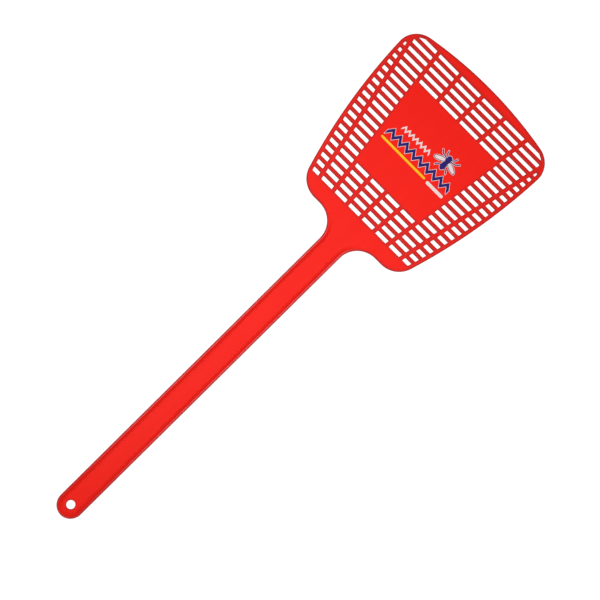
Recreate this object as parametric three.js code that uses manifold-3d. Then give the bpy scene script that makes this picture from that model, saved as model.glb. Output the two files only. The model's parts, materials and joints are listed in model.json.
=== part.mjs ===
// A one-piece moulded fly swatter, lying on its back: the handle is towards -Y, the flexible
// slotted head is towards +Y and the printed face is up. The regions of the moulding are separate
// meshes, with a narrow gap between neighbours, and the inks are meshes on top of the print panel.
// Lengths are millimetres. Y is counted from the hanging end until the last group centres it.

import * as THREE from "three";
import { mergeVertices } from "three/addons/utils/BufferGeometryUtils.js";
import Module from "manifold-3d";

// Whole object
const LENGTH = 406.4;
const PLATE = 1.8; // thickness of the head, the neck and the handle's web
const RAIL_HEIGHT = 4.2; // the handle's raised edge, both faces together
const MIDDLE = RAIL_HEIGHT / 2; // height of the moulding's middle plane
const GAP = 0.3; // between neighbouring regions

// Handle
const END_RADIUS = 8.95; // half the handle's width at the hanging end
const NECK_HALF_WIDTH = 9.55; // half its width where the neck starts
const RAIL_WIDTH = 3.5;
const CREST_X = 1.05; // from the outer wall to the top of the raised edge
const RAIL_WALL = 0.6; // height of its straight outer wall
const HOLE_DIAMETER = 5.8;

// Neck
const FOOT_Y = 263.4; // the straight lower edge of the head
const NECK_FILLET = 17;
const NECK_Y = FOOT_Y - NECK_FILLET; // where the neck starts to widen
const NECK_ARC_X = NECK_HALF_WIDTH + NECK_FILLET;
const HINGE_Y = 258; // the line about which the neck bends
const HINGE_GAP = 0.5;

// Head outline: a shallow tip arc, two long side arcs and four round corners
const TIP_RADIUS = 295;
const SIDE_RADIUS = 455;
const SIDE_ARC_Y = 407.5;
const HEAD_HALF_WIDTH = 68.2;
const CORNER_RADIUS = 16.6;
const FOOT_RADIUS = 17.5;

// Slots and ribs
const ROWS = 22;
const ROW_PITCH = 5.72;
const FIRST_ROW_Y = 397.2; // the row nearest the tip
const SLOT_HEIGHT = 2.9;
const RIB_WIDTH = 3.1;
const OUTER_RIB = 3; // ribs are numbered from -3 to 3
const PANEL_RIB = 2; // the print panel lies between these ribs
const FAN_Y = 90.2; // the ribs fan out from this point on the handle
const FAN_SLOPE = 0.0696; // sideways step between two ribs for each millimetre of length
const CLOSED_CORNER_ROWS = 2; // rows whose outermost slot is left out
const FIRST_PANEL_ROW = 5;
const LAST_PANEL_ROW = 16;
const RIM_WIDTH = 2.9; // solid edge outside the slots
const TIP_RIM_WIDTH = 2.2;
const RIM_STRIP = 1.3; // the part of that edge that is its own region

// Ink. The white film goes on first, and shows as a narrow edge round the navy film.
const INK_FILM = 0.04;
const WHITE_LIFT = 0.01; // above the panel
const NAVY_LIFT = 0.06;
const KEYLINE = 0.3;
const PRINT_Y = 333.5;
const WAVE = { width: 59, teeth: 9, rise: 4.6, thickness: 3.4 };
const SMALL_WAVE = { width: 26, teeth: 7, rise: 3, thickness: 2.1 };
const SMALL_WAVE_AT = [-10.6, 8.6];
const YELLOW_BAR = { width: 42, height: 1.7 };
const YELLOW_BAR_AT = [-8.8, -6.6];
const END_BAR = { width: 15.6, height: 2.4 };
const END_BAR_AT = [21.9, -7.2];

// The printed fly, about its thorax, with its head towards the tip
const FLY_AT = [14.6, 13.2];
const ABDOMEN = { y: -3.7, radiusX: 2.1, radiusY: 3.5 };
const THORAX = { y: 0.9, radiusX: 2, radiusY: 2.2 };
const FLY_HEAD = { y: 3.6, radiusX: 1.7, radiusY: 1.3 };
const WING = { x: 5.2, y: -1.4, radiusX: 4.6, radiusY: 1.9, turn: -0.42 };
const WING_LINE = 0.45;
const LEG_WIDTH = 0.75;
const LEGS = [
  [[1.2, 2.4], [3.6, 4.4], [4.2, 6.6]],
  [[1.2, 1.6], [5.8, 2.6], [8, 4.8]],
  [[1, -4.2], [4, -5.4], [5, -7.2]],
];

const ARC_STEPS = 12; // a curve is drawn with twice as many sides
const FINE_STEPS = 4; // for the smallest curves
const CUT = 20; // half height of the cutting solids
const WIDE = 200; // reach of the cutting solids

const MOULDED_RED = { color: 0xf22a20, roughness: 0.38, metalness: 0 };
const NAVY_INK = { color: 0x28287f, roughness: 0.45, metalness: 0 };
const WHITE_INK = { color: 0xf3f2ee, roughness: 0.45, metalness: 0 };
const YELLOW_INK = { color: 0xffd31c, roughness: 0.45, metalness: 0 };

const wasm = await Module();
wasm.setup();

// Solids and meshes

function solid(geometry) {
  const bare = geometry.clone();
  bare.deleteAttribute("normal");
  bare.deleteAttribute("uv");
  const merged = mergeVertices(bare, 1e-4);
  return new wasm.Manifold(
    new wasm.Mesh({
      numProp: 3,
      vertProperties: new Float32Array(merged.attributes.position.array),
      triVerts: new Uint32Array(merged.index.array),
    }),
  );
}

function mesh(name, body, finish) {
  const cut = body.getMesh();
  const geometry = new THREE.BufferGeometry();
  geometry.setAttribute("position", new THREE.BufferAttribute(cut.vertProperties, 3));
  geometry.setIndex(new THREE.BufferAttribute(cut.triVerts, 1));
  geometry.computeVertexNormals();
  const part = new THREE.Mesh(geometry, new THREE.MeshStandardMaterial({ ...finish, flatShading: true }));
  part.name = name;
  return part;
}

function prism(shape, bottom, top, curveSegments = ARC_STEPS) {
  const geometry = new THREE.ExtrudeGeometry(shape, {
    depth: top - bottom,
    bevelEnabled: false,
    curveSegments,
  });
  geometry.translate(0, 0, bottom);
  return solid(geometry);
}

function plate(shape) {
  return prism(shape, MIDDLE - PLATE / 2, MIDDLE + PLATE / 2);
}

function cutter(shape) {
  return prism(shape, -CUT, CUT);
}

function polygon(...corners) {
  return new THREE.Shape(corners.map(([x, y]) => new THREE.Vector2(x, y)));
}

function between(y0, y1) {
  return cutter(polygon([-WIDE, y0], [WIDE, y0], [WIDE, y1], [-WIDE, y1]));
}

function sideOf(side) {
  return cutter(polygon([0, -WIDE], [side * WIDE, -WIDE], [side * WIDE, 3 * WIDE], [0, 3 * WIDE]));
}

// Handle

// Half the width of the straight handle, which widens evenly towards the neck.
function handleHalfWidth(y) {
  return THREE.MathUtils.mapLinear(y, END_RADIUS, NECK_Y, END_RADIUS, NECK_HALF_WIDTH);
}

// Section of the raised edge: x runs inwards from the outer wall and y up from the middle plane.
// Its outer side is a quarter ellipse, and its inner side sinks to the web in a double curve.
function railSection() {
  const half = PLATE / 2;
  const top = RAIL_HEIGHT / 2;
  const wall = RAIL_WALL / 2;
  const third = (RAIL_WIDTH - CREST_X) / 3;
  const section = new THREE.Shape();
  section.moveTo(0, -wall);
  section.lineTo(0, wall);
  section.absellipse(CREST_X, wall, CREST_X, top - wall, Math.PI, Math.PI / 2, true);
  section.bezierCurveTo(CREST_X + third, top, RAIL_WIDTH - third, half, RAIL_WIDTH, half);
  section.lineTo(RAIL_WIDTH, -half);
  section.bezierCurveTo(RAIL_WIDTH - third, -half, CREST_X + third, -top, CREST_X, -top);
  section.absellipse(CREST_X, -wall, CREST_X, top - wall, -Math.PI / 2, -Math.PI, true);
  return section;
}

// The raised edge turned about an upright axis. wall is the radius of its outer wall, and inward
// says whether the section reaches towards the axis (-1) or away from it (1).
function railRing(wall, inward) {
  const points = railSection().getPoints(FINE_STEPS);
  const profile = points.map((p) => new THREE.Vector2(wall + inward * p.x, p.y));
  profile.push(profile[0].clone());
  if (inward > 0) profile.reverse();
  const ring = new THREE.LatheGeometry(profile, 4 * ARC_STEPS);
  ring.rotateX(Math.PI / 2);
  return solid(ring);
}

function sideRail(side) {
  const start = END_RADIUS + GAP / 2;
  const length = NECK_Y - GAP / 2 - start;
  const geometry = new THREE.ExtrudeGeometry(railSection(), {
    depth: length,
    bevelEnabled: false,
    curveSegments: FINE_STEPS,
  });
  geometry.rotateX(Math.PI / 2);
  geometry.rotateZ(Math.PI);
  geometry.translate(END_RADIUS, start, 0);
  const lean = (NECK_HALF_WIDTH - END_RADIUS) / (NECK_Y - END_RADIUS);
  geometry.applyMatrix4(new THREE.Matrix4().makeShear(0, 0, lean, 0, 0, 0));
  const rail = solid(geometry).translate([-lean * start, 0, MIDDLE]);
  return side > 0 ? rail : rail.mirror([1, 0, 0]);
}

function endRail() {
  const ring = railRing(END_RADIUS, -1).translate([0, END_RADIUS, MIDDLE]);
  return ring.intersect(between(-WIDE, END_RADIUS - GAP / 2));
}

// The raised edge follows the neck's fillet and sinks to the plate's thickness at the bending line.
function neckRail(side) {
  const ring = railRing(NECK_FILLET, 1).translate([NECK_ARC_X, NECK_Y, MIDDLE]);
  const last = HINGE_Y - HINGE_GAP / 2;
  const fade = polygon(
    [NECK_Y + GAP / 2, -RAIL_HEIGHT / 2],
    [last, -PLATE / 2],
    [last, PLATE / 2],
    [NECK_Y + GAP / 2, RAIL_HEIGHT / 2],
  );
  const wedge = new THREE.ExtrudeGeometry(fade, { depth: NECK_ARC_X, bevelEnabled: false });
  wedge.rotateX(Math.PI / 2);
  wedge.rotateZ(Math.PI / 2);
  wedge.translate(0, 0, MIDDLE);
  const rail = ring.intersect(solid(wedge));
  return side > 0 ? rail : rail.mirror([1, 0, 0]);
}

function handleWeb() {
  const inset = RAIL_WIDTH + GAP;
  const top = NECK_Y - GAP / 2;
  const outline = new THREE.Shape();
  outline.moveTo(handleHalfWidth(top) - inset, top);
  outline.lineTo(-handleHalfWidth(top) + inset, top);
  outline.lineTo(-END_RADIUS + inset, END_RADIUS);
  outline.absarc(0, END_RADIUS, END_RADIUS - inset, Math.PI, 2 * Math.PI, false);
  const hole = new THREE.Path();
  hole.absarc(0, END_RADIUS, HOLE_DIAMETER / 2, 0, 2 * Math.PI, false);
  outline.holes.push(hole);
  return plate(outline);
}

function neckWeb() {
  const radius = NECK_FILLET + RAIL_WIDTH + GAP;
  const bottom = NECK_Y + GAP / 2;
  const top = HINGE_Y - HINGE_GAP / 2;
  const low = Math.asin((bottom - NECK_Y) / radius);
  const high = Math.asin((top - NECK_Y) / radius);
  const outline = new THREE.Shape();
  outline.absarc(NECK_ARC_X, NECK_Y, radius, Math.PI - low, Math.PI - high, true);
  outline.absarc(-NECK_ARC_X, NECK_Y, radius, high, low, true);
  return plate(outline);
}

// Head

// Where two circles cross, on the right-hand side going from the first centre to the second.
function crossing(a, radiusA, b, radiusB) {
  const apart = b.clone().sub(a);
  const distance = apart.length();
  const along = (radiusA ** 2 - radiusB ** 2 + distance ** 2) / (2 * distance);
  const off = Math.sqrt(radiusA ** 2 - along ** 2);
  const unit = apart.normalize();
  return a
    .clone()
    .addScaledVector(unit, along)
    .add(new THREE.Vector2(unit.y, -unit.x).multiplyScalar(off));
}

// The head's outline moved inwards by rim, and by tipRim at the tip. Its arcs meet smoothly.
function headOutline(rim, tipRim) {
  const tip = new THREE.Vector2(0, LENGTH - TIP_RADIUS);
  const side = new THREE.Vector2(HEAD_HALF_WIDTH - SIDE_RADIUS, SIDE_ARC_Y);
  const tipRadius = TIP_RADIUS - tipRim;
  const sideRadius = SIDE_RADIUS - rim;
  const cornerRadius = CORNER_RADIUS - rim;
  const footRadius = FOOT_RADIUS - rim;
  const corner = crossing(tip, tipRadius - cornerRadius, side, sideRadius - cornerRadius);
  const footY = FOOT_Y + rim + footRadius;
  const reach = Math.sqrt((sideRadius - footRadius) ** 2 - (side.y - footY) ** 2);
  const foot = new THREE.Vector2(side.x + reach, footY);
  const footAngle = foot.clone().sub(side).angle() - 2 * Math.PI;
  const sideAngle = corner.clone().sub(side).angle() - 2 * Math.PI;
  const tipAngle = corner.clone().sub(tip).angle();
  const outline = new THREE.Shape();
  outline.absarc(foot.x, foot.y, footRadius, -Math.PI / 2, footAngle, false);
  outline.absarc(side.x, side.y, sideRadius, footAngle, sideAngle, false);
  outline.absarc(corner.x, corner.y, cornerRadius, sideAngle, tipAngle, false);
  outline.absarc(tip.x, tip.y, tipRadius, tipAngle, Math.PI - tipAngle, false);
  outline.absarc(-corner.x, corner.y, cornerRadius, Math.PI - tipAngle, Math.PI - sideAngle, false);
  outline.absarc(-side.x, side.y, sideRadius, Math.PI - sideAngle, Math.PI - footAngle, false);
  outline.absarc(-foot.x, foot.y, footRadius, Math.PI - footAngle, 1.5 * Math.PI, false);
  return outline;
}

// The flared plate between the neck's bending line and the head's lower edge.
function neckFlare() {
  const bottom = HINGE_Y + HINGE_GAP / 2;
  const low = Math.asin((bottom - NECK_Y) / NECK_FILLET);
  const overlap = 5;
  const outline = new THREE.Shape();
  outline.absarc(NECK_ARC_X, NECK_Y, NECK_FILLET, Math.PI - low, Math.PI / 2, true);
  outline.lineTo(NECK_ARC_X, FOOT_Y + overlap);
  outline.lineTo(-NECK_ARC_X, FOOT_Y + overlap);
  outline.absarc(-NECK_ARC_X, NECK_Y, NECK_FILLET, Math.PI / 2, low, true);
  return plate(outline);
}

function rowY(row) {
  return FIRST_ROW_Y - row * ROW_PITCH;
}

// Where the centre line of a rib is at a height.
function ribX(rib, y) {
  return rib * FAN_SLOPE * (y - FAN_Y);
}

// A slot between two neighbouring ribs. Its ends run along the ribs.
function slot(row, rib) {
  const low = rowY(row) - SLOT_HEIGHT / 2;
  const high = rowY(row) + SLOT_HEIGHT / 2;
  const left = (y) => ribX(rib, y) + RIB_WIDTH / 2;
  const right = (y) => ribX(rib + 1, y) - RIB_WIDTH / 2;
  return cutter(polygon([left(low), low], [right(low), low], [right(high), high], [left(high), high]));
}

function isPanel(row, rib) {
  const panelRow = row >= FIRST_PANEL_ROW && row <= LAST_PANEL_ROW;
  return panelRow && rib >= -PANEL_RIB && rib < PANEL_RIB;
}

function allSlots() {
  const slots = [];
  for (let row = 0; row < ROWS; row += 1) {
    const outer = row < CLOSED_CORNER_ROWS ? OUTER_RIB : OUTER_RIB + 1;
    for (let rib = -outer; rib < outer; rib += 1) {
      if (!isPanel(row, rib)) slots.push(slot(row, rib));
    }
  }
  return wasm.Manifold.union(slots).intersect(cutter(headOutline(RIM_WIDTH, TIP_RIM_WIDTH)));
}

// The wedge between two lines of the rib fan, pulled in by an inset on both sides.
function fanWedge(fromRib, toRib, inset) {
  const low = FOOT_Y;
  const high = LENGTH;
  const left = (y) => ribX(fromRib, y) + inset;
  const right = (y) => ribX(toRib, y) - inset;
  return cutter(polygon([left(low), low], [right(low), low], [right(high), high], [left(high), high]));
}

function headRegions() {
  const whole = plate(headOutline(0, 0));
  const field = plate(headOutline(RIM_STRIP + GAP, 0)).subtract(allSlots());
  const rim = whole.subtract(cutter(headOutline(RIM_STRIP, 0)));
  const tipLine = rowY(0) + ROW_PITCH / 2;
  const panelTop = rowY(FIRST_PANEL_ROW) + ROW_PITCH / 2;
  const panelBottom = rowY(LAST_PANEL_ROW) - ROW_PITCH / 2;
  const shoulderLine = rowY(ROWS - 1) - ROW_PITCH / 2;
  const half = GAP / 2;
  const tipField = field.intersect(between(panelTop + half, tipLine - half));
  const panelField = field.intersect(between(panelBottom + half, panelTop - half));
  const neckField = field.intersect(between(shoulderLine + half, panelBottom - half));
  const rimField = rim.intersect(between(shoulderLine + half, tipLine - half));
  const outside = 2 * OUTER_RIB;
  return {
    tip_band: whole.intersect(between(tipLine + half, 2 * LENGTH)),
    tip_grille: tipField,
    left_grille: panelField.intersect(fanWedge(-outside, -PANEL_RIB, half)),
    print_panel: panelField.intersect(fanWedge(-PANEL_RIB, PANEL_RIB, half)),
    right_grille: panelField.intersect(fanWedge(PANEL_RIB, outside, half)),
    neck_grille: neckField,
    left_rim: rimField.intersect(sideOf(-1)),
    right_rim: rimField.intersect(sideOf(1)),
    shoulder_plate: whole.intersect(between(0, shoulderLine - half)).add(neckFlare()),
  };
}

// Ink: a plain pictogram of a house fly, two zigzag lines and two bars

function ink(shape, lift, curveSegments = ARC_STEPS) {
  const bottom = MIDDLE + PLATE / 2 + lift;
  return prism(shape, bottom, bottom + INK_FILM, curveSegments);
}

function ellipse({ x = 0, y, radiusX, radiusY, turn = 0 }, grow = 0) {
  const shape = new THREE.Shape();
  shape.absellipse(x, y, radiusX + grow, radiusY + grow, 0, 2 * Math.PI, false, turn);
  return shape;
}

function bar({ width, height }) {
  const r = height / 2;
  const shape = new THREE.Shape();
  shape.absarc(width / 2 - r, 0, r, -Math.PI / 2, Math.PI / 2, false);
  shape.absarc(r - width / 2, 0, r, Math.PI / 2, 1.5 * Math.PI, false);
  return shape;
}

// A band of even thickness that rises and falls in straight lines, grown on all sides by an edge.
function zigzag({ width, teeth, rise, thickness }, grow = 0) {
  const step = width / (2 * teeth);
  const steepness = Math.hypot(step, rise) / step;
  const half = thickness / 2 + grow * steepness;
  const peaks = Array.from({ length: 2 * teeth + 1 }, (_, i) => {
    return new THREE.Vector2(i * step - width / 2, i % 2 ? rise / 2 : -rise / 2);
  });
  const end = new THREE.Vector2(grow, (grow * rise) / step);
  peaks.unshift(peaks[0].clone().add(new THREE.Vector2(-end.x, end.y)));
  peaks.push(peaks.at(-1).clone().add(end));
  const upper = peaks.map((p) => new THREE.Vector2(p.x, p.y + half));
  const lower = peaks.map((p) => new THREE.Vector2(p.x, p.y - half));
  return new THREE.Shape([...lower, ...upper.reverse()]);
}

// A bent leg: two straight strokes of even width, from the body to the foot.
function leg(side, joints, lift, grow) {
  const width = LEG_WIDTH + 2 * grow;
  const points = joints.map(([x, y]) => new THREE.Vector2(side * x, y));
  const strokes = points.slice(1).map((to, i) => {
    const along = to.clone().sub(points[i]);
    const middle = to.clone().add(points[i]).multiplyScalar(0.5);
    return ink(bar({ width: along.length() + width, height: width }), lift, FINE_STEPS)
      .rotate([0, 0, THREE.MathUtils.radToDeg(along.angle())])
      .translate([middle.x, middle.y, 0]);
  });
  return wasm.Manifold.union(strokes);
}

// The fly's silhouette. Its wings are filled in the white film, and only outlined in the navy.
function fly(lift, grow, filledWings) {
  const pieces = [];
  for (const side of [-1, 1]) {
    const edge = ink(ellipse(WING, grow), lift);
    const wing = filledWings ? edge : edge.subtract(cutter(ellipse(WING, grow - WING_LINE)));
    pieces.push(side > 0 ? wing : wing.mirror([1, 0, 0]));
    for (const joints of LEGS) pieces.push(leg(side, joints, lift, grow));
  }
  for (const part of [ABDOMEN, THORAX, FLY_HEAD]) pieces.push(ink(ellipse(part, grow), lift));
  return wasm.Manifold.union(pieces);
}

function at([x, y], body) {
  return body.translate([x, y, 0]);
}

function inks() {
  return {
    ink_fly_white: [at(FLY_AT, fly(WHITE_LIFT, KEYLINE, true)), WHITE_INK],
    ink_fly_navy: [at(FLY_AT, fly(NAVY_LIFT, 0, false)), NAVY_INK],
    ink_wave_white: [ink(zigzag(WAVE, KEYLINE), WHITE_LIFT), WHITE_INK],
    ink_wave_navy: [ink(zigzag(WAVE), NAVY_LIFT), NAVY_INK],
    ink_small_wave: [at(SMALL_WAVE_AT, ink(zigzag(SMALL_WAVE), WHITE_LIFT)), WHITE_INK],
    ink_yellow_bar: [at(YELLOW_BAR_AT, ink(bar(YELLOW_BAR), WHITE_LIFT)), YELLOW_INK],
    ink_end_bar: [at(END_BAR_AT, ink(bar(END_BAR), WHITE_LIFT)), WHITE_INK],
  };
}

// Assembly

const handle = new THREE.Group();
handle.add(mesh("handle_web", handleWeb(), MOULDED_RED));
handle.add(mesh("end_rail", endRail(), MOULDED_RED));
handle.add(mesh("left_rail", sideRail(-1), MOULDED_RED));
handle.add(mesh("right_rail", sideRail(1), MOULDED_RED));
handle.add(mesh("neck_web", neckWeb(), MOULDED_RED));
handle.add(mesh("left_neck_rail", neckRail(-1), MOULDED_RED));
handle.add(mesh("right_neck_rail", neckRail(1), MOULDED_RED));

const head = new THREE.Group();
for (const [name, body] of Object.entries(headRegions())) head.add(mesh(name, body, MOULDED_RED));

const print = new THREE.Group();
for (const [name, [body, finish]] of Object.entries(inks())) print.add(mesh(name, body, finish));
print.position.y = PRINT_Y;
head.add(print);

const swatter = new THREE.Group();
swatter.add(handle, head);
swatter.position.y = -LENGTH / 2;

export default swatter;
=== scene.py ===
"""Looks of a one-piece moulded fly swatter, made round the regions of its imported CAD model.

The moulding is one surface, worked out from its outline, slots and hole. It is triangulated once
and then split at the CAD regions' borders, so that each piece stands for its own CAD node and
neighbours share their border exactly. Lengths are millimetres, and y counts from the hanging end,
until to_frame() turns them into the frame's metres.
"""

import json
import math

import bpy
import numpy as np
from mathutils import Euler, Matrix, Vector
from mathutils.geometry import delaunay_2d_cdt

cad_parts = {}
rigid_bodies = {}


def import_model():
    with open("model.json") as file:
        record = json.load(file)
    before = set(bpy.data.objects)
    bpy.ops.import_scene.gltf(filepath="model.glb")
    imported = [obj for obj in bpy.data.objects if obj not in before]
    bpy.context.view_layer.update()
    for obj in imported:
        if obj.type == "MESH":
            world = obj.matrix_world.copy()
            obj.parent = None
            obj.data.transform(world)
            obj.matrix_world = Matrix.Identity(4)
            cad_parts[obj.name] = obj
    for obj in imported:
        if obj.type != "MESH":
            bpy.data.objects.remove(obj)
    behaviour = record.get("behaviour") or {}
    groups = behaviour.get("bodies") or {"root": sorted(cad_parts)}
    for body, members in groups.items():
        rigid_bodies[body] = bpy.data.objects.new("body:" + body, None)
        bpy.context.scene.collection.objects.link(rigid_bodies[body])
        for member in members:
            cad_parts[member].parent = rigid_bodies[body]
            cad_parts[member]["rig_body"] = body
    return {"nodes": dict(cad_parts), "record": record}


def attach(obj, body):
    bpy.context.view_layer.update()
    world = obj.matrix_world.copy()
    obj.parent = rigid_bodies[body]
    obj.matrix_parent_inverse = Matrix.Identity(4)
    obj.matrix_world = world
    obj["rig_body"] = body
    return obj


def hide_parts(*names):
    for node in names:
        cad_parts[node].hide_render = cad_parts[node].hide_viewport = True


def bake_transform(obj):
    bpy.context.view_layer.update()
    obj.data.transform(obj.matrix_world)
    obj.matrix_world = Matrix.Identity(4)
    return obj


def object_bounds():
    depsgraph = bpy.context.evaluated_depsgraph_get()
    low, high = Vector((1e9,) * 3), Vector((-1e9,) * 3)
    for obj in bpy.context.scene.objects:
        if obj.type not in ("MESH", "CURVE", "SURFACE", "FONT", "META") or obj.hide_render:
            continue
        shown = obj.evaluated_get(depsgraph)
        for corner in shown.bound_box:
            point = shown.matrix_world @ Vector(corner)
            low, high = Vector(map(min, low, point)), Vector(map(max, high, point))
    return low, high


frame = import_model()
CAD_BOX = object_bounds()

# Whole moulding
LENGTH = (CAD_BOX[1].y - CAD_BOX[0].y) * 1000
RAIL_HEIGHT = (CAD_BOX[1].z - CAD_BOX[0].z) * 1000
MIDDLE = RAIL_HEIGHT / 2
HALF_PLATE = 0.9  # half the thickness of the head, the neck and the handle's web
EDGE_RADIUS = 0.35  # rounding of the plate's edges and slots
HALF_GAP = 0.15  # half the gap between two regions of the CAD model

# Handle
END_RADIUS = 8.95
NECK_HALF_WIDTH = 9.55
RAIL_WIDTH = 3.5
CREST_X = 1.05  # from the outer wall to the top of the raised edge
RAIL_WALL = 0.6  # height of its straight outer wall
RAIL_BORDER = RAIL_WIDTH + HALF_GAP  # from the outline to the line between rail and web
HOLE_RADIUS = 2.9

# Neck
FOOT_Y = 263.4  # the straight lower edge of the head
NECK_FILLET = 17.0
NECK_Y = FOOT_Y - NECK_FILLET  # where the neck starts to widen
NECK_ARC_X = NECK_HALF_WIDTH + NECK_FILLET
NECK_END_Y = 258.0  # the line between neck and shoulder, at the hinge
RAIL_END_Y = FOOT_Y - 0.9  # where the raised edge has sunk to the plate

# Head outline: a shallow tip arc, two long side arcs and four round corners
TIP_RADIUS = 295.0
SIDE_RADIUS = 455.0
SIDE_ARC = (-386.8, 407.5)  # centre of the right side's arc
CORNER_RADIUS = 16.6
FOOT_RADIUS = 17.5

# Slots and ribs
ROWS = 22
ROW_PITCH = 5.72
FIRST_ROW_Y = 397.2  # the row nearest the tip
SLOT_HEIGHT = 2.9
SLOT_CORNER = 0.2
RIB_WIDTH = 3.1
OUTER_RIB = 3  # ribs are numbered from -3 to 3
PANEL_RIB = 2  # the print panel lies between these ribs
FAN_Y = 90.2  # the ribs fan out from this point on the handle
FAN_SLOPE = 0.0696  # sideways step between two ribs for each millimetre of length
CLOSED_CORNER_ROWS = 2  # rows whose outermost slot is left out
PANEL_ROWS = range(5, 17)
RIM_WIDTH = 2.9  # solid edge outside the slots
TIP_RIM_WIDTH = 2.2
RIM_STRIP = 1.3  # the part of that edge that is its own region
RIM_BORDER = RIM_STRIP + HALF_GAP  # from the outline to the line between rim and grille
HALF_BAR = (ROW_PITCH - SLOT_HEIGHT) / 2  # half the width of the bars between the rows of slots
BAR_WALL = 0.45  # half the height of a bar's upright side
BAR_CROWN = 0.85  # half a bar's height at its crown
BAR_ROOT = 0.6  # length over which a bar runs out into its rib

# Borders across the head
TIP_LINE = FIRST_ROW_Y + ROW_PITCH / 2
PANEL_TOP = FIRST_ROW_Y - (PANEL_ROWS[0] - 0.5) * ROW_PITCH
PANEL_BOTTOM = FIRST_ROW_Y - (PANEL_ROWS[-1] + 0.5) * ROW_PITCH
SHOULDER_LINE = FIRST_ROW_Y - (ROWS - 0.5) * ROW_PITCH

# Flash line, where the two mould halves meet
FLASH_WIDTH = 0.13
FLASH_OUT = 0.05

# Painted shade, a deeper red that follows the shape: how strong it is, how far in it starts to fade, and
# where it ends
EDGE_SHADE = (0.75, 0, 0.9)  # at the outline and the hole
SLOT_EDGE_SHADE = (0.45, 0, 0.9)
SLOT_SHADE = (0.27, 0.5, 2.4)  # the wider shade round the slots
RIM_SHADE = (0.3, 0, 2.4)  # the wider shade along the outline, which is twice as strong at the tip
FOOT_SHADE = (0.33, 2.2, 4.6)  # over the raised edge's slope and its foot, in a purer red
BAR_SHADE = 0.17  # on the bars between the slots

# Painted highlight along the top of the raised edge
HIGHLIGHT_HALF_WIDTH = 0.28  # half its width
END_HIGHLIGHT = 0.25  # how much of it is left round the hanging end
HIGHLIGHT_RISE = (12.0, 84.0)  # where along the handle it comes up to its full strength

# Mesh density: how far from an edge the lines lie that follow it, and the steps along them
PLATE_OFFSETS = (0, 0.07, 0.2, EDGE_RADIUS, 0.65, 0.95)
RAIL_OFFSETS = (0.5, 0.75, CREST_X, 1.35, 1.7, 2.0, 2.3, 2.6, 3.0, RAIL_WIDTH)
WEB_OFFSETS = (RAIL_BORDER, 4.1, FOOT_SHADE[-1])
SLOT_OFFSETS = (0, 0.07, 0.2, EDGE_RADIUS, 0.65, 1.0)
ARC_STEP = math.radians(4)
LONG_STEP = 3.0  # along the long arcs and the neck
HANDLE_STEP = 12.0
CORNER_STEPS = 4  # round a right angle of a slot
BEND_STEP = 2.0  # between the lines across the neck and shoulder, which bend

# Small distances that the surface is worked out with
JOIN_SLACK = 0.05  # covers the narrow wedges between a straight side and the arc that follows it
SLOPE_STEP = 0.004  # half the way between the two points that a slope is taken from
MERGE = 1e-4  # points nearer than this become one

# Moulded plastic
RED = (0.93, 0.018, 0.0115)
LIGHT_RED = (0.98, 0.0215, 0.0135)
FLOW_RED = (0.88, 0.016, 0.011)
# Painted shade by edges, slots and bars
PAINTED_EDGE_SHADE_RED = (0.22, 0.026, 0.025)
# Painted shade on the raised edge's slope and at its foot
PAINTED_FOOT_SHADE_RED = (0.35, 0.002, 0.002)
# Painted highlight along the top of the raised edge
PAINTED_HIGHLIGHT_RED = (0.88, 0.14, 0.14)
PLASTIC_SPECULAR = 0.03

# Inks, each with the colour where its film is thin
INKS = {
    "ink_navy": ((0.02, 0.013, 0.15), (0.045, 0.016, 0.17)),
    "ink_white": ((0.86, 0.74, 0.72), (0.84, 0.55, 0.52)),
    "ink_yellow": ((0.98, 0.56, 0.012), (0.94, 0.42, 0.01)),
}
INK_SPECULAR = 0.1

# Camera, in millimetres in the frame and in degrees
CAMERA_AT = (7.0, -111.7, 725.5)
CAMERA_TURN = (6.22, -6.62, 44.8)
LENS = 66
SENSOR = 36

# Stage, in metres
PALE = (0.3, 0.3, 0.3)
GLOW = 3.0
STAGE_SPECULAR = 0.1
WALL_DISTANCE = 12.0
WALL_HEIGHT = 4.5
WALL_SIDES = 48
SOFT_BOX_AT = (-0.02, 0.005, 0.54)
SOFT_BOX_SIZE = 0.45
SOFT_BOX_POWER = 3.0
WORLD_STRENGTH = 0.03


# Outline


def crossing(a, radius_a, b, radius_b):
    """Where two circles cross, on the right-hand side going from the first centre to the second."""
    a, b = np.array(a), np.array(b)
    apart = np.linalg.norm(b - a)
    along = (radius_a**2 - radius_b**2 + apart**2) / (2 * apart)
    off = math.sqrt(radius_a**2 - along**2)
    unit = (b - a) / apart
    return a + along * unit + off * np.array([unit[1], -unit[0]])


def head_arcs(rim=0.0, tip_rim=0.0):
    """The right half of the head's outline moved inwards, as (centre, radius, first angle, last angle)."""
    tip = (0, LENGTH - TIP_RADIUS)
    tip_radius, side_radius = TIP_RADIUS - tip_rim, SIDE_RADIUS - rim
    corner_radius, foot_radius = CORNER_RADIUS - rim, FOOT_RADIUS - rim
    corner = crossing(tip, tip_radius - corner_radius, SIDE_ARC, side_radius - corner_radius)
    foot_y = FOOT_Y + FOOT_RADIUS
    reach = math.sqrt((side_radius - foot_radius) ** 2 - (SIDE_ARC[1] - foot_y) ** 2)
    foot = (SIDE_ARC[0] + reach, foot_y)
    foot_angle = math.atan2(foot_y - SIDE_ARC[1], reach)
    side_angle = math.atan2(corner[1] - SIDE_ARC[1], corner[0] - SIDE_ARC[0])
    tip_angle = math.atan2(corner[1] - tip[1], corner[0] - tip[0])
    return [
        (foot, foot_radius, -math.pi / 2, foot_angle),
        (SIDE_ARC, side_radius, foot_angle, side_angle),
        (corner, corner_radius, side_angle, tip_angle),
        (tip, tip_radius, tip_angle, math.pi / 2),
    ]


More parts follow.
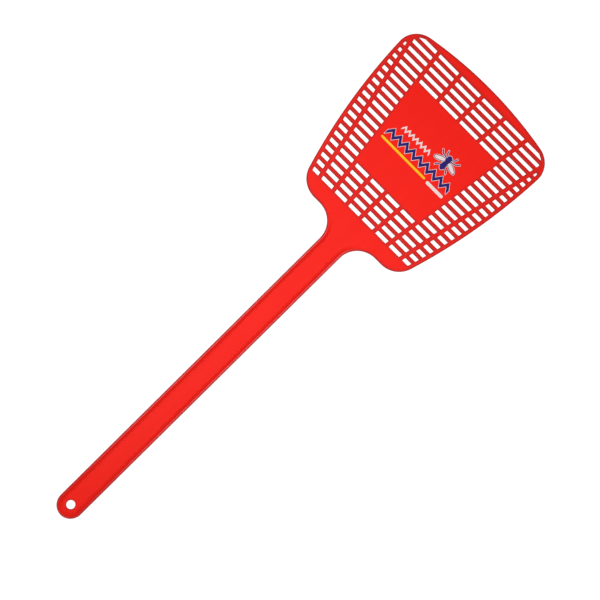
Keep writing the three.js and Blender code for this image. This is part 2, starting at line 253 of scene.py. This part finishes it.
HEAD_ARCS = head_arcs()
SLOT_LIMIT = head_arcs(RIM_WIDTH, TIP_RIM_WIDTH)
END_ARC = ((0, END_RADIUS), END_RADIUS, -math.pi / 2, 0)
NECK_ARC = ((NECK_ARC_X, NECK_Y), NECK_FILLET, math.pi, math.pi / 2)
HANDLE_SIDE = ((END_RADIUS, END_RADIUS), (NECK_HALF_WIDTH, NECK_Y))
FOOT_SIDE = ((NECK_ARC_X, FOOT_Y), (HEAD_ARCS[0][0][0], FOOT_Y))


def arc_points(arc, inset, step):
    """Points along an arc of the outline moved inwards. Arcs with falling angles curve the other way."""
    (x, y), radius, first, last = arc
    count = max(2, math.ceil(abs(last - first) / step) + 1)
    angles = np.linspace(first, last, count)
    r = radius - inset if last > first else radius + inset
    return np.column_stack([x + r * np.cos(angles), y + r * np.sin(angles)])


def side_points(side, inset, step):
    """Points along a straight side of the outline moved inwards, which is to the left of its direction."""
    a, b = np.array(side[0], float), np.array(side[1], float)
    unit = (b - a) / np.linalg.norm(b - a)
    count = max(2, math.ceil(np.linalg.norm(b - a) / step) + 1)
    return np.linspace(a, b, count) + inset * np.array([-unit[1], unit[0]])


def half_outline(inset):
    """The right half of the outline moved inwards, from the hanging end to the tip."""
    foot, side, corner, tip = HEAD_ARCS
    runs = [
        arc_points(END_ARC, inset, ARC_STEP),
        side_points(HANDLE_SIDE, inset, HANDLE_STEP),
        arc_points(NECK_ARC, inset, ARC_STEP),
        side_points(FOOT_SIDE, inset, LONG_STEP),
        arc_points(foot, inset, ARC_STEP),
        arc_points(side, inset, LONG_STEP / SIDE_RADIUS),
        arc_points(corner, inset, ARC_STEP),
        arc_points(tip, inset, LONG_STEP / TIP_RADIUS),
    ]
    return np.vstack([runs[0]] + [run[1:] for run in runs[1:]])


def outline_inset(p):
    """How far inside the outline each point is. Outside it is negative."""
    q = np.column_stack([np.abs(p[:, 0]), p[:, 1]])
    inset = np.full(len(q), np.inf)
    for (x, y), radius, first, last in [END_ARC, NECK_ARC, *HEAD_ARCS]:
        d = q - (x, y)
        middle, spread = (first + last) / 2, abs(last - first) / 2
        turn = (np.arctan2(d[:, 1], d[:, 0]) - middle + math.pi) % (2 * math.pi) - math.pi
        away = radius - np.hypot(d[:, 0], d[:, 1])
        value = away if last > first else -away
        inset = np.where(np.abs(turn) <= spread, np.minimum(inset, value), inset)
    for a, b in (HANDLE_SIDE, FOOT_SIDE):
        a, along = np.array(a), np.subtract(b, a)
        length = np.linalg.norm(along)
        unit = along / length
        d = q - a
        t = d @ unit
        value = d @ np.array([-unit[1], unit[0]])
        on = (t >= -JOIN_SLACK) & (t <= length + JOIN_SLACK)
        inset = np.where(on, np.minimum(inset, value), inset)
    return inset


# Slots


def row_y(row):
    return FIRST_ROW_Y - row * ROW_PITCH


def rib_x(rib, y):
    return rib * FAN_SLOPE * (y - FAN_Y)


def limit_x(y):
    """The furthest that a slot may reach sideways at a height."""
    y = np.asarray(y, float)
    x = np.zeros_like(y)
    for (cx, cy), radius, first, last in SLOT_LIMIT:
        sine = np.clip((y - cy) / radius, -1, 1)
        angle = np.arcsin(sine)
        on = (angle >= first) & (angle <= last) & (np.abs(y - cy) <= radius)
        x = np.where(on, cx + radius * np.cos(angle), x)
    return x


def cell_left(rib, y):
    return rib_x(rib, y) + RIB_WIDTH / 2


def cell_right(rib, y):
    return np.minimum(rib_x(rib + 1, y) - RIB_WIDTH / 2, limit_x(y))


def has_slot(row, rib):
    """Whether the right half has a slot in this row, outwards from this rib."""
    if row < 0 or row >= ROWS:
        return False
    if row in PANEL_ROWS and rib < PANEL_RIB:
        return False
    return rib < OUTER_RIB or row >= CLOSED_CORNER_ROWS


def inset_polygon(corners, inset):
    """A convex polygon, counterclockwise, with its sides moved inwards."""
    sides = np.roll(corners, -1, 0) - corners
    units = sides / np.linalg.norm(sides, axis=1)[:, None]
    starts = corners + inset * np.column_stack([-units[:, 1], units[:, 0]])
    result = []
    for i in range(len(corners)):
        p, u, q, v = starts[i - 1], units[i - 1], starts[i], units[i]
        t = np.cross(q - p, v) / np.cross(u, v)
        result.append(p + t * u)
    return np.array(result)


def slot_core(row, rib):
    """A slot of the right half, shrunk by the radius of its corners."""
    low, high = row_y(row) - SLOT_HEIGHT / 2, row_y(row) + SLOT_HEIGHT / 2
    clipped = cell_right(rib, high) < rib_x(rib + 1, high) - RIB_WIDTH / 2
    ys = np.linspace(low, high, 4 if clipped else 2)
    right = np.column_stack([cell_right(rib, ys), ys])
    left = np.array([[cell_left(rib, high), high], [cell_left(rib, low), low]])
    return inset_polygon(np.vstack([right, left]), SLOT_CORNER)


def mirrored(points):
    return (points * (-1, 1))[::-1]


def make_cores():
    """The cores of all slots, those of the right half each followed by their mirror image."""
    cores = []
    for row in range(ROWS):
        for rib in range(OUTER_RIB + 1):
            if has_slot(row, rib):
                core = slot_core(row, rib)
                cores += [core, mirrored(core)]
    return cores


CORES = make_cores()


def slot_loop(core, offset):
    """The closed line at a distance round a slot, with extra points where a bar meets its rib."""
    reach = SLOT_CORNER + offset
    sides = np.roll(core, -1, 0) - core
    lengths = np.linalg.norm(sides, axis=1)
    headings = np.arctan2(sides[:, 1], sides[:, 0]) - math.pi / 2
    points = []
    for i, corner in enumerate(core):
        turn = (headings[i] - headings[i - 1]) % (2 * math.pi)
        steps = max(1, round(CORNER_STEPS * turn / (math.pi / 2)))
        for angle in headings[i - 1] + np.linspace(0, turn, steps + 1):
            points.append(corner + reach * np.array([math.cos(angle), math.sin(angle)]))
        if lengths[i] > 4 * BAR_ROOT:
            out = reach * np.array([math.cos(headings[i]), math.sin(headings[i])])
            for along in (BAR_ROOT / 4, BAR_ROOT / 2, BAR_ROOT):
                points.append(corner + out + sides[i] * along / lengths[i])
            for along in (BAR_ROOT, BAR_ROOT / 2, BAR_ROOT / 4):
                points.append(corner + out + sides[i] * (1 - along / lengths[i]))
    return np.array(points)


def core_distance(core, p):
    """Distance to a convex polygon, negative inside it."""
    outside = np.full(len(p), np.inf)
    inside = np.full(len(p), -np.inf)
    for a, b in zip(core, np.roll(core, -1, 0)):
        side = b - a
        length = np.linalg.norm(side)
        d = p - a
        t = np.clip(d @ side / length**2, 0, 1)
        outside = np.minimum(outside, np.linalg.norm(d - t[:, None] * side, axis=1))
        inside = np.maximum(inside, (d[:, 0] * side[1] - d[:, 1] * side[0]) / length)
    return np.where(inside > 0, outside, inside)


def slot_distance(p):
    """Distance from each point to the nearest slot, negative inside one, where it is near one."""
    near = 2 * HALF_BAR
    result = np.full(len(p), near)
    for core in CORES:
        low, high = core.min(0) - near, core.max(0) + near
        close = np.flatnonzero(((p > low) & (p < high)).all(1))
        distance = core_distance(core, p[close]) - SLOT_CORNER
        result[close] = np.minimum(result[close], distance)
    return result


def bar_share(p):
    """How far each point belongs to a bar between two slots, from 0 on the ribs to 1 along the bar."""
    x, y = np.abs(p[:, 0]), p[:, 1]
    share = np.zeros(len(p))
    for row in range(ROWS - 1):
        off = np.abs(y - row_y(row + 0.5))
        rows = np.flatnonzero(off < HALF_BAR + SLOT_CORNER)
        for rib in range(OUTER_RIB + 1):
            if not (has_slot(row, rib) and has_slot(row + 1, rib)):
                continue
            left, right = cell_left(rib, y[rows]), cell_right(rib, y[rows])
            along = np.minimum(x[rows] - left, right - x[rows])
            across = HALF_BAR + SLOT_CORNER - off[rows]
            value = smooth(along / BAR_ROOT) * smooth(across / SLOT_CORNER)
            share[rows] = np.maximum(share[rows], value)
    return share


# Surface


def smooth(t):
    """A soft step from 0 to 1."""
    t = np.clip(t, 0, 1)
    return t * t * (3 - 2 * t)


def edge_drop(d):
    """How far a rounded edge is below the surface beside it."""
    t = np.clip(EDGE_RADIUS - d, 0, EDGE_RADIUS)
    return EDGE_RADIUS - np.sqrt(EDGE_RADIUS**2 - t**2)


def bar_profile(d):
    """Half height of a bar at a distance from its slot: an ellipse on an upright side."""
    t = np.clip(1 - d / HALF_BAR, 0, 1)
    return BAR_WALL + (BAR_CROWN - BAR_WALL) * np.sqrt(1 - t**2)


def rail_profile(d):
    """Half height of the raised edge: a quarter ellipse outside, and a double curve down to the web."""
    rise = np.sqrt(1 - np.clip(1 - d / CREST_X, 0, 1) ** 2)
    outer = RAIL_WALL / 2 + (MIDDLE - RAIL_WALL / 2) * rise
    sunk = smooth((d - CREST_X) / (RAIL_WIDTH - CREST_X))
    return np.where(d < CREST_X, outer, MIDDLE + (HALF_PLATE - MIDDLE) * sunk)


def neck_fade(y):
    """0 along the handle, rising to 1 where the raised edge has sunk to the plate."""
    return smooth((y - NECK_Y) / (RAIL_END_Y - NECK_Y))


def half_height(p):
    """Half the thickness of the moulding at each point."""
    inset = np.maximum(outline_inset(p), 0)
    fade = neck_fade(p[:, 1])
    height = rail_profile(inset) * (1 - fade) + (HALF_PLATE - edge_drop(inset)) * fade
    hole = np.hypot(p[:, 0], p[:, 1] - END_RADIUS) - HOLE_RADIUS
    slots = np.maximum(slot_distance(p), 0)
    height -= edge_drop(np.maximum(hole, 0)) + edge_drop(slots)
    share = bar_share(p)
    return height * (1 - share) + bar_profile(slots) * share


def border_distance(p):
    """Distance into the material from the outline or the hole."""
    hole = np.hypot(p[:, 0], p[:, 1] - END_RADIUS) - HOLE_RADIUS
    return np.minimum(outline_inset(p), hole)


def edge_distance(p):
    """Distance into the material from its nearest edge, negative in a slot, in the hole or outside."""
    return np.minimum(border_distance(p), slot_distance(p))


def shade(distance, strength, start, end):
    """A painted shade that fades out between two distances."""
    return strength * (1 - smooth((distance - start) / (end - start)))


def painted_edge_shade(p, outward):
    """Painted shade: how much deeper the red is than on a flat part, by edges and slots, along the
    outline, and on bars.
    """
    inset, border, slots = outline_inset(p), border_distance(p), slot_distance(p)
    shades = [
        shade(border, *EDGE_SHADE),
        shade(slots, *SLOT_EDGE_SHADE),
        shade(slots, *SLOT_SHADE),
        shade(inset, *RIM_SHADE) * (1 + np.maximum(outward[:, 1], 0)),
        BAR_SHADE * bar_share(p),
    ]
    return 1 - np.prod([1 - value for value in shades], axis=0)


def painted_foot_shade(p):
    """Painted shade: how much deeper the red is on the slope of the raised edge and at its foot."""
    return shade(outline_inset(p), *FOOT_SHADE) * (1 - neck_fade(p[:, 1]))


def painted_crest_highlight(p):
    """Painted highlight: 1 along the top of the raised edge, and fading at both its ends. Elsewhere it is
    0.
    """
    beside = (outline_inset(p) - CREST_X) / HIGHLIGHT_HALF_WIDTH
    low, high = HIGHLIGHT_RISE
    along = END_HIGHLIGHT + (1 - END_HIGHLIGHT) * smooth((p[:, 1] - low) / (high - low))
    return np.exp(-(beside**2)) * along * (1 - neck_fade(p[:, 1]))


def slope(function, p):
    """Gradient of a function of points, by central differences."""
    parts = []
    for axis in np.eye(2) * SLOPE_STEP:
        parts.append((function(p + axis) - function(p - axis)) / (2 * SLOPE_STEP))
    return np.column_stack(parts)


# Triangles


class Lines:
    """Points and the edges between them that the triangles have to keep."""

    def __init__(self):
        self.points, self.edges = [], []

    def add(self, points, closed=False):
        first = len(self.points)
        self.points += [Vector(p) for p in points]
        last = len(self.points) - 1
        self.edges += [(i, i + 1) for i in range(first, last)]
        if closed:
            self.edges.append((last, first))

    def add_both_sides(self, points):
        self.add(points)
        self.add(mirrored(points))


def across(y, half_width):
    """A line across the moulding, a little longer than it is wide."""
    return [(-half_width, y), (half_width, y)]


def outline_lines(lines):
    """Lines along the outline, along the raised edge and between rim and grille."""
    for inset in PLATE_OFFSETS:
        right = half_outline(inset)
        lines.add(np.vstack([right, mirrored(right)[1:-1]]), closed=True)
    for inset in RAIL_OFFSETS + WEB_OFFSETS:
        right = half_outline(inset)
        last_y = NECK_END_Y if inset in WEB_OFFSETS else RAIL_END_Y
        run = right[: np.flatnonzero(right[:, 1] > last_y)[0] + 1]
        lines.add(np.vstack([mirrored(run)[:-1], run]))
    rim = half_outline(RIM_BORDER)
    on_rim = (rim[:, 1] > SHOULDER_LINE - LONG_STEP) & (rim[:, 1] < TIP_LINE + LONG_STEP)
    lines.add_both_sides(rim[on_rim])


def slot_lines(lines):
    """Lines round the slots and along the middle of the bars."""
    for core in CORES:
        for offset in SLOT_OFFSETS:
            lines.add(slot_loop(core, offset), closed=True)
    for row in range(ROWS - 1):
        y = row_y(row + 0.5)
        for rib in range(OUTER_RIB + 1):
            if has_slot(row, rib) and has_slot(row + 1, rib):
                left, right = cell_left(rib, y), cell_right(rib, y)
                ends = np.array([0, BAR_ROOT / 4, BAR_ROOT / 2, BAR_ROOT])
                xs = np.concatenate([left + ends, (right - ends)[::-1]])
                lines.add_both_sides(np.column_stack([xs, np.full(len(xs), y)]))


def hole_lines(lines):
    for offset in PLATE_OFFSETS:
        arc = ((0, END_RADIUS), HOLE_RADIUS + offset, 0, 2 * math.pi)
        lines.add(arc_points(arc, 0, 2 * ARC_STEP)[:-1], closed=True)


def shade_lines(lines):
    """Lines where the painted shade along the outline and round the slots ends, clear of both."""
    rim = half_outline(RIM_SHADE[-1])
    clear = (slot_distance(rim) > SLOT_OFFSETS[-1]) & (rim[:, 1] > RAIL_END_Y)
    for part in (rim[clear & (rim[:, 1] < SHOULDER_LINE)], rim[clear & (rim[:, 1] > TIP_LINE)]):
        lines.add_both_sides(part)
    end = SLOT_SHADE[-1]
    reach = end - HALF_BAR
    bottom, top = PANEL_BOTTOM + reach, PANEL_TOP - reach
    side = [(rib_x(PANEL_RIB, y) + RIB_WIDTH / 2 - end, y) for y in (bottom, top)]
    lines.add([*side, *mirrored(np.array(side))], closed=True)
    for y in (SHOULDER_LINE - reach, TIP_LINE + reach):
        lines.add(across(y, limit_x(y) - end))


def border_lines(lines):
    """Lines across the moulding where two regions meet, and where the neck bends."""
    lines.add(across(END_RADIUS, 1.2 * END_RADIUS))
    for y in np.arange(NECK_Y, SHOULDER_LINE, BEND_STEP):
        lines.add(across(y, HEAD_ARCS[0][0][0] + 2 * FOOT_RADIUS))
    for y in (NECK_END_Y, SHOULDER_LINE, PANEL_BOTTOM, PANEL_TOP, TIP_LINE):
        lines.add(across(y, SIDE_ARC[0] + SIDE_RADIUS + FOOT_RADIUS))
    fan = [(rib_x(PANEL_RIB, y), y) for y in (PANEL_BOTTOM, PANEL_TOP)]
    lines.add_both_sides(np.array(fan))


def triangulate():
    """All triangles of the moulding seen from above, as (points, triangles)."""
    lines = Lines()
    outline_lines(lines)
    slot_lines(lines)
    hole_lines(lines)
    shade_lines(lines)
    border_lines(lines)
    points, _, faces, *_ = delaunay_2d_cdt(lines.points, lines.edges, [], 0, MERGE)
    points, faces = np.array(points, float), np.array(faces)
    centres = points[faces].mean(1)
    return points, faces[edge_distance(centres) > 0]


def region_of(centres):
    """The name of the CAD node that each point belongs to."""
    x, y = centres.T
    inset = outline_inset(centres)
    rail, rim = inset < RAIL_BORDER, inset < RIM_BORDER
    beside_panel = np.abs(x) > rib_x(PANEL_RIB, y)
    rules = [
        (rail & (y < END_RADIUS), "end_rail"),
        (rail & (y < NECK_Y) & (x < 0), "left_rail"),
        (rail & (y < NECK_Y), "right_rail"),
        (y < NECK_Y, "handle_web"),
        (rail & (y < NECK_END_Y) & (x < 0), "left_neck_rail"),
        (rail & (y < NECK_END_Y), "right_neck_rail"),
        (y < NECK_END_Y, "neck_web"),
        (y < SHOULDER_LINE, "shoulder_plate"),
        (y > TIP_LINE, "tip_band"),
        (rim & (x < 0), "left_rim"),
        (rim, "right_rim"),
        (y < PANEL_BOTTOM, "neck_grille"),
        (y > PANEL_TOP, "tip_grille"),
        (beside_panel & (x < 0), "left_grille"),
        (beside_panel, "right_grille"),
    ]
    return np.select([rule for rule, _ in rules], [name for _, name in rules], "print_panel")


def single_edges(faces):
    """The directed edges of some triangles that have no triangle on their other side."""
    edges = np.vstack([faces[:, [0, 1]], faces[:, [1, 2]], faces[:, [2, 0]]])
    forward = {tuple(edge) for edge in edges.tolist()}
    return [(a, b) for a, b in forward if (b, a) not in forward]


def to_frame(points):
    """Millimetres with y from the hanging end, to metres in the row frame."""
    return (points - (0, LENGTH / 2, 0)) / 1000


class Moulding:
    """The whole surface: places, half heights and directions of its points, and its triangles."""

    def __init__(self):
        self.points, self.faces = triangulate()
        self.height = half_height(self.points)
        self.outward = -slope(edge_distance, self.points)
        self.outward /= np.maximum(np.linalg.norm(self.outward, axis=1), 1e-9)[:, None]
        # Painted shade and a painted highlight, held at each vertex
        self.masks = {
            "painted_edge_shade": painted_edge_shade(self.points, self.outward),
            "painted_foot_shade": painted_foot_shade(self.points),
            "painted_crest_highlight": painted_crest_highlight(self.points),
        }
        rise = slope(half_height, self.points)
        normal = np.column_stack([-rise, np.ones(len(rise))])
        edges = single_edges(self.faces)
        self.free_edges = set(edges)
        for i in {i for edge in edges for i in edge}:
            normal[i] = [*self.outward[i], 0]
        self.normal = normal / np.linalg.norm(normal, axis=1)[:, None]
        self.regions = region_of(self.points[self.faces].mean(1))

    def levels(self, i, free):
        """Heights down the upright wall at a point, each with how far the wall stands out there."""
        h = self.height[i]
        if not free:
            return [(h, 0), (-h, 0)]
        return [(h, 0), (FLASH_WIDTH, 0), (0, FLASH_OUT), (-FLASH_WIDTH, 0), (-h, 0)]


class Piece:
    """Gathers the corners of one region's closed mesh, with a direction for each corner."""

    def __init__(self, moulding):
        self.moulding = moulding
        self.index, self.places, self.sources = {}, [], []
        self.faces, self.normals = [], []

    def place(self, i, height, out=0):
        """The vertex above or below point i, made when it is first needed."""
        key = (i, round(height, 6))
        if key not in self.index:
            self.index[key] = len(self.places)
            x, y = self.moulding.points[i] + out * self.moulding.outward[i]
            self.places.append((x, y, MIDDLE + height))
            self.sources.append(i)
        return self.index[key]

    def add_surface(self, faces):
        m = self.moulding
        for face in faces:
            self.faces.append([self.place(i, m.height[i]) for i in face])
            self.normals += list(m.normal[face])
            self.faces.append([self.place(i, -m.height[i]) for i in face[::-1]])
            self.normals += list(m.normal[face[::-1]] * (1, 1, -1))

    def add_walls(self, faces):
        m = self.moulding
        for a, b in single_edges(faces):
            free = (a, b) in m.free_edges
            left = [self.place(a, *level) for level in m.levels(a, free)]
            right = [self.place(b, *level) for level in m.levels(b, free)]
            along = m.points[b] - m.points[a]
            flat = np.array([along[1], -along[0], 0])
            start, end = ((*m.outward[a], 0), (*m.outward[b], 0)) if free else (flat, flat)
            for k in range(len(left) - 1):
                self.faces.append([left[k], left[k + 1], right[k + 1], right[k]])
                self.normals += [start, start, end, end]

    def make(self, name, material):
        mesh = bpy.data.meshes.new(name)
        mesh.from_pydata(to_frame(np.array(self.places)).tolist(), [], self.faces)
        mesh.polygons.foreach_set("use_smooth", [True] * len(mesh.polygons))
        # The painted shade and painted highlight masks become vertex attributes
        for mask, values in self.moulding.masks.items():
            layer = mesh.attributes.new(mask, "FLOAT", "POINT")
            layer.data.foreach_set("value", values[self.sources].astype(np.float32))
        mesh.normals_split_custom_set([tuple(n) for n in self.normals])
        mesh.materials.append(material)
        made = bpy.data.objects.new(name, mesh)
        bpy.context.scene.collection.objects.link(made)
        return made


# Materials


class Nodes:
    """A material's node tree, with short ways to add to it."""

    def __init__(self, name):
        self.material = bpy.data.materials.new(name)
        self.material.use_nodes = True
        self.tree = self.material.node_tree
        self.shader = self.tree.nodes["Principled BSDF"]
        self.place = self.tree.nodes.new("ShaderNodeTexCoord").outputs["Object"]

    def link(self, source, target):
        if isinstance(source, bpy.types.NodeSocket):
            self.tree.links.new(source, target)
        else:
            target.default_value = source

    def stretched(self, scale, turn=0.0):
        """The place on the object, scaled in each direction and turned about Z by some degrees."""
        node = self.tree.nodes.new("ShaderNodeMapping")
        node.inputs["Scale"].default_value = scale
        node.inputs["Rotation"].default_value = (0, 0, math.radians(turn))
        self.link(self.place, node.inputs["Vector"])
        return node.outputs["Vector"]

    def noise(self, scale, detail, place=None):
        node = self.tree.nodes.new("ShaderNodeTexNoise")
        node.inputs["Scale"].default_value = scale
        node.inputs["Detail"].default_value = detail
        self.link(place or self.place, node.inputs["Vector"])
        return node.outputs["Fac"]

    def spread(self, value, low, high, to_low, to_high):
        """A value between low and high, moved to between to_low and to_high."""
        node = self.tree.nodes.new("ShaderNodeMapRange")
        for socket, number in zip(node.inputs[1:5], (low, high, to_low, to_high)):
            socket.default_value = number
        self.link(value, node.inputs["Value"])
        return node.outputs["Result"]

    def mask(self, name):
        """A value that the mesh holds at each vertex."""
        node = self.tree.nodes.new("ShaderNodeAttribute")
        node.attribute_name = name
        return node.outputs["Fac"]

    def math(self, operation, a, b):
        node = self.tree.nodes.new("ShaderNodeMath")
        node.operation = operation
        self.link(a, node.inputs[0])
        self.link(b, node.inputs[1])
        return node.outputs["Value"]

    def mix(self, share, a, b):
        node = self.tree.nodes.new("ShaderNodeMix")
        node.data_type = "RGBA"
        self.link(share, node.inputs["Factor"])
        self.link((*a, 1) if isinstance(a, tuple) else a, node.inputs["A"])
        self.link((*b, 1) if isinstance(b, tuple) else b, node.inputs["B"])
        return node.outputs["Result"]

    def bump(self, height, distance, strength, below=None):
        node = self.tree.nodes.new("ShaderNodeBump")
        node.inputs["Distance"].default_value = distance
        node.inputs["Strength"].default_value = strength
        self.link(height, node.inputs["Height"])
        if below:
            self.link(below, node.inputs["Normal"])
        return node.outputs["Normal"]

    def finish(self, colour, roughness, normal, specular):
        self.link(colour, self.shader.inputs["Base Color"])
        self.link(roughness, self.shader.inputs["Roughness"])
        self.link(normal, self.shader.inputs["Normal"])
        self.shader.inputs["Specular IOR Level"].default_value = specular
        return self.material


def scratches(nodes):
    """Fine hair scratches in two directions, as a value that is 1 in a scratch."""
    total = 0.0
    for turn in (28, -52):
        place = nodes.stretched((900, 14, 900), turn)
        lines = nodes.spread(nodes.noise(1.0, 1.0, place), 0.7, 0.74, 0, 1)
        total = nodes.math("MAXIMUM", lines, total)
    return total


def moulded_red():
    """Semi-gloss red plastic, with flow marks, fine grain and scratches, painted shade by edges, slots and
    bars and on the raised edge's slope, and a painted highlight along the raised edge's crest.
    """
    nodes = Nodes("moulded_red")
    clouds = nodes.noise(14, 3)
    flow = nodes.noise(1.0, 3, nodes.stretched((150, 12, 150)))
    grain = nodes.noise(2600, 2)
    worn = scratches(nodes)
    colour = nodes.mix(clouds, RED, LIGHT_RED)
    colour = nodes.mix(nodes.spread(flow, 0.4, 0.75, 0, 0.3), colour, FLOW_RED)
    # Painted shade by edges, slots and bars, then over the raised edge's slope and foot
    colour = nodes.mix(nodes.mask("painted_edge_shade"), colour, PAINTED_EDGE_SHADE_RED)
    colour = nodes.mix(nodes.mask("painted_foot_shade"), colour, PAINTED_FOOT_SHADE_RED)
    # Painted highlight along the top of the raised edge, in patches
    patches = nodes.spread(nodes.noise(220, 2), 0.3, 0.7, 0.6, 0.95)
    painted_highlight = nodes.math("MULTIPLY", nodes.mask("painted_crest_highlight"), patches)
    colour = nodes.mix(painted_highlight, colour, PAINTED_HIGHLIGHT_RED)
    flow_rough = nodes.spread(flow, 0.2, 0.8, 0.3, 0.4)
    grain_rough = nodes.spread(grain, 0, 1, -0.03, 0.03)
    rough = nodes.math("ADD", flow_rough, grain_rough)
    rough = nodes.math("ADD", rough, nodes.spread(worn, 0, 1, 0, 0.08))
    normal = nodes.bump(nodes.noise(40, 2), 0.0001, 0.5)
    normal = nodes.bump(grain, 0.00001, 0.5, normal)
    normal = nodes.bump(worn, -0.00001, 0.4, normal)
    return nodes.finish(colour, rough, normal, PLASTIC_SPECULAR)


def ink(name, colour, thin_colour):
    """Satin printing ink, slightly mottled and with pin holes."""
    nodes = Nodes(name)
    mottle = nodes.noise(500, 3)
    grain = nodes.noise(3000, 2)
    share = nodes.spread(mottle, 0.35, 0.8, 0, 0.5)
    pin_holes = nodes.spread(nodes.noise(1500, 1), 0.74, 0.8, 0, 0.35)
    tone = nodes.mix(nodes.math("ADD", share, pin_holes), colour, thin_colour)
    rough = nodes.spread(mottle, 0.2, 0.8, 0.38, 0.52)
    normal = nodes.bump(grain, 0.00001, 0.4)
    return nodes.finish(tone, rough, normal, INK_SPECULAR)


# Stage


def pale_material(name):
    """Matt paint with a glow of its own, so that it stays white all over."""
    nodes = Nodes(name)
    tone = nodes.mix(nodes.noise(3, 2), tuple(0.99 * c for c in PALE), PALE)
    nodes.link(tone, nodes.shader.inputs["Emission Color"])
    nodes.shader.inputs["Emission Strength"].default_value = GLOW
    return nodes.finish(tone, 0.9, nodes.bump(nodes.noise(800, 2), 0.00002, 0.2), STAGE_SPECULAR)


def make_stage(name, corners, faces):
    mesh = bpy.data.meshes.new(name)
    mesh.from_pydata(corners, [], faces)
    mesh.materials.append(pale_material("pale_" + name))
    made = bpy.data.objects.new(name, mesh)
    bpy.context.scene.collection.objects.link(made)


def make_floor_and_wall():
    """A round floor with a low wall of the same paint far away, which hides the horizon."""
    angles = np.linspace(0, 2 * math.pi, WALL_SIDES, endpoint=False)
    ring = [(WALL_DISTANCE * math.cos(a), WALL_DISTANCE * math.sin(a)) for a in angles]
    low = [(x, y, 0) for x, y in ring]
    high = [(x, y, WALL_HEIGHT) for x, y in ring]
    make_stage("floor", low, [range(WALL_SIDES)])
    nexts = [(i, (i + 1) % WALL_SIDES) for i in range(WALL_SIDES)]
    sides = [(b, a, a + WALL_SIDES, b + WALL_SIDES) for a, b in nexts]
    make_stage("wall", low + high, sides)


def make_light(name, place, size, power):
    """A square soft box that points at the object's middle. Its place is in metres."""
    light = bpy.data.lights.new(name, "AREA")
    light.shape = "SQUARE"
    light.size = size
    light.energy = power
    made = bpy.data.objects.new(name, light)
    made.location = place
    made.visible_camera = False
    made.rotation_euler = (-Vector(place)).to_track_quat("-Z", "Y").to_euler()
    bpy.context.scene.collection.objects.link(made)


def make_world():
    world = bpy.data.worlds.new("studio")
    world.use_nodes = True
    background = world.node_tree.nodes["Background"]
    background.inputs["Color"].default_value = (1, 1, 1, 1)
    background.inputs["Strength"].default_value = WORLD_STRENGTH
    bpy.context.scene.world = world
    bpy.context.scene.view_settings.view_transform = "Standard"


def make_camera():
    data = bpy.data.cameras.new("camera")
    data.lens, data.sensor_width = LENS, SENSOR
    camera = bpy.data.objects.new("camera", data)
    camera.location = Vector(CAMERA_AT) / 1000
    camera.rotation_euler = Euler([math.radians(a) for a in CAMERA_TURN])
    bpy.context.scene.collection.objects.link(camera)
    bpy.context.scene.camera = camera


# Assembly


def place_on_bodies(pieces):
    """Handle pieces and head pieces ride their body. Those across the neck keep their place, baked into
    their mesh, and ride neither body.
    """
    bending = {"neck_web", "left_neck_rail", "right_neck_rail", "shoulder_plate"}
    for name, piece in pieces.items():
        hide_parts(name)
        if name in bending:
            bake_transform(piece)
        else:
            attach(piece, frame["nodes"][name]["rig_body"])


def make_moulding():
    """One piece for each region of the moulding, by the name of the CAD node it stands for."""
    moulding = Moulding()
    red = moulded_red()
    pieces = {}
    for name in sorted(set(moulding.regions)):
        faces = moulding.faces[moulding.regions == name]
        piece = Piece(moulding)
        piece.add_surface(faces)
        piece.add_walls(faces)
        pieces[name] = piece.make("moulded_" + name, red)
    return pieces


def paint_inks():
    """The printed films are the CAD model's own solids, each in the ink of its material slot."""
    slots = {part["node"]: part["material_slot"] for part in frame["record"]["subparts"]}
    inks = {name: ink(name, *colours) for name, colours in INKS.items()}
    for node, made in frame["nodes"].items():
        if slots.get(node) in inks:
            made.data.materials.clear()
            made.data.materials.append(inks[slots[node]])


make_camera()
make_world()
make_floor_and_wall()
make_light("soft_box", SOFT_BOX_AT, SOFT_BOX_SIZE, SOFT_BOX_POWER)
place_on_bodies(make_moulding())
paint_inks()
